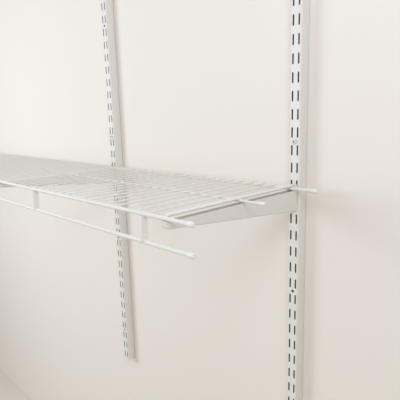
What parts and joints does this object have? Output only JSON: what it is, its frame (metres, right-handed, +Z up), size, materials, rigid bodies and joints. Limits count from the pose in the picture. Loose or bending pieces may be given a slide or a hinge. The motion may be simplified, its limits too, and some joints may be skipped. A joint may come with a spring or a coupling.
{
  "type": "wall mounted closet system",
  "caption": "Wall mounted closet system: slotted uprights hung on a wall track, hook-in folded brackets, and a ventilated wire shelf with a hanging rod under its front edge.",
  "frame": {"origin": "middle of the hang track's back face, on the wall plane", "axes": "+X right along the wall as the shelf is seen from the room, +Y into the wall, +Z up"},
  "size_m": [1.829, 0.3706, 1.2065],
  "materials": {
    "upright_coat": "satin powder coat",
    "bracket_coat": "satin powder coat",
    "wire_coat": "smooth epoxy coat",
    "cap_plastic": "moulded",
    "screw_steel": "zinc plated"
  },
  "bodies": {
    "wall_frame": {"hang_track": "upright_coat", "track_screw_1": "screw_steel", "track_screw_2": "screw_steel", "track_screw_3": "screw_steel", "track_screw_4": "screw_steel", "track_screw_5": "screw_steel", "right_upright": "upright_coat", "right_upright_screw": "screw_steel", "middle_upright": "upright_coat", "middle_upright_screw": "screw_steel", "left_upright": "upright_coat", "left_upright_screw": "screw_steel"},
    "right_bracket": {"right_bracket": "bracket_coat"},
    "middle_bracket": {"middle_bracket": "bracket_coat"},
    "left_bracket": {"left_bracket": "bracket_coat"},
    "shelf": {"front_rod": "wire_coat", "hang_rod": "wire_coat", "back_rod": "wire_coat", "deck_grid": "wire_coat", "right_end_wire": "wire_coat", "left_end_wire": "wire_coat", "hang_strap_1": "wire_coat", "hang_strap_2": "wire_coat", "hang_strap_3": "wire_coat", "hang_strap_4": "wire_coat", "hang_strap_5": "wire_coat", "front_rod_cap_right": "cap_plastic", "front_rod_cap_left": "cap_plastic", "hang_rod_cap_right": "cap_plastic", "hang_rod_cap_left": "cap_plastic", "mid_rod_cap_right": "cap_plastic", "mid_rod_cap_left": "cap_plastic", "back_rod_cap_right": "cap_plastic", "back_rod_cap_left": "cap_plastic"}
  },
  "joints": [
    {"name": "right_bracket_lift", "type": "slide", "parent": "wall_frame", "child": "right_bracket", "axis": [0, 0, 1], "range_m": [0, 0.009]},
    {"name": "middle_bracket_lift", "type": "slide", "parent": "wall_frame", "child": "middle_bracket", "axis": [0, 0, 1], "range_m": [0, 0.009]},
    {"name": "left_bracket_lift", "type": "slide", "parent": "wall_frame", "child": "left_bracket", "axis": [0, 0, 1], "range_m": [0, 0.009]},
    {"name": "shelf_lift", "type": "slide", "parent": "right_bracket", "child": "shelf", "axis": [0, 0, 1], "range_m": [0, 0.022]}
  ],
  "couplings": [
    {"joint": "middle_bracket_lift", "follows": "right_bracket_lift", "ratio": 1},
    {"joint": "left_bracket_lift", "follows": "right_bracket_lift", "ratio": 1}
  ]
}
